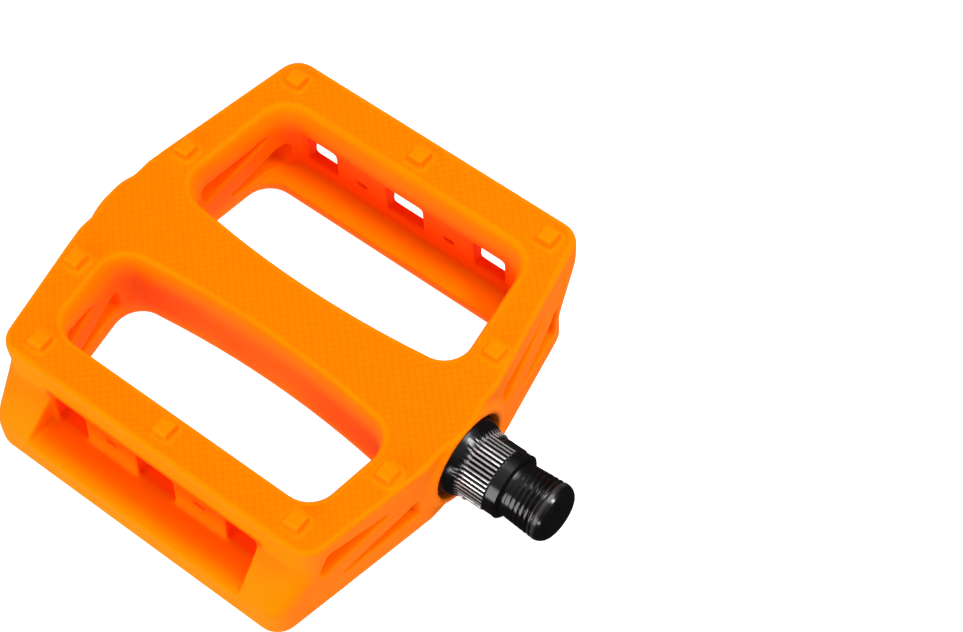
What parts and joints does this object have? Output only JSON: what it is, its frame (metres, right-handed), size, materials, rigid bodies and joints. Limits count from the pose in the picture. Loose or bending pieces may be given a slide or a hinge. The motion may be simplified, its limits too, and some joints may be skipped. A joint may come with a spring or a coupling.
{
  "type": "flat pedal",
  "caption": "Flat platform pedal with an open moulded body, traction pins on both faces and a threaded crank spindle.",
  "frame": {"origin": "on the spindle axis, at the shoulder where the spindle seats against the crank arm", "axes": "+X along the spindle axis, from the platform towards the crank arm; +Y across the platform towards the wide side of its upper face; +Z out of the upper face"},
  "size_m": [0.1294, 0.1106, 0.0306],
  "materials": {
    "body_nylon": "moulded orange nylon, fine texture on the flat faces, satin in the recesses",
    "spindle_black_steel": "gloss black plated steel",
    "race_steel": "ground bearing steel",
    "ball_steel": "polished bearing steel",
    "plated_steel": "zinc plated steel",
    "seal_rubber": "matt black rubber",
    "cap_plastic": "gloss black plastic"
  },
  "bodies": {
    "spindle_unit": {"spindle": "spindle_black_steel", "outboard_cone": "race_steel", "key_washer": "plated_steel", "lock_nut": "plated_steel"},
    "platform": {"pedal_body": "body_nylon", "inboard_cup": "race_steel", "inboard_seal": "seal_rubber", "outboard_cup": "race_steel", "end_cap": "cap_plastic"},
    "inboard_ball_row": {"inboard_ball_01": "ball_steel", "inboard_ball_02": "ball_steel", "inboard_ball_03": "ball_steel", "inboard_ball_04": "ball_steel", "inboard_ball_05": "ball_steel", "inboard_ball_06": "ball_steel", "inboard_ball_07": "ball_steel", "inboard_ball_08": "ball_steel", "inboard_ball_09": "ball_steel", "inboard_ball_10": "ball_steel", "inboard_ball_11": "ball_steel", "inboard_ball_12": "ball_steel"},
    "outboard_ball_row": {"outboard_ball_01": "ball_steel", "outboard_ball_02": "ball_steel", "outboard_ball_03": "ball_steel", "outboard_ball_04": "ball_steel", "outboard_ball_05": "ball_steel", "outboard_ball_06": "ball_steel", "outboard_ball_07": "ball_steel", "outboard_ball_08": "ball_steel", "outboard_ball_09": "ball_steel", "outboard_ball_10": "ball_steel", "outboard_ball_11": "ball_steel", "outboard_ball_12": "ball_steel"}
  },
  "joints": [
    {"name": "platform_spin", "type": "hinge", "parent": "spindle_unit", "child": "platform", "pos_m": [-0.065, 0, 0], "axis": [1, 0, 0], "continuous": true},
    {"name": "inboard_balls_roll", "type": "hinge", "parent": "spindle_unit", "child": "inboard_ball_row", "pos_m": [-0.022, 0, 0], "axis": [1, 0, 0], "continuous": true},
    {"name": "outboard_balls_roll", "type": "hinge", "parent": "spindle_unit", "child": "outboard_ball_row", "pos_m": [-0.1015, 0, 0], "axis": [1, 0, 0], "continuous": true}
  ],
  "couplings": [
    {"joint": "inboard_balls_roll", "follows": "platform_spin", "ratio": 0.5905},
    {"joint": "outboard_balls_roll", "follows": "platform_spin", "ratio": 0.5877}
  ]
}
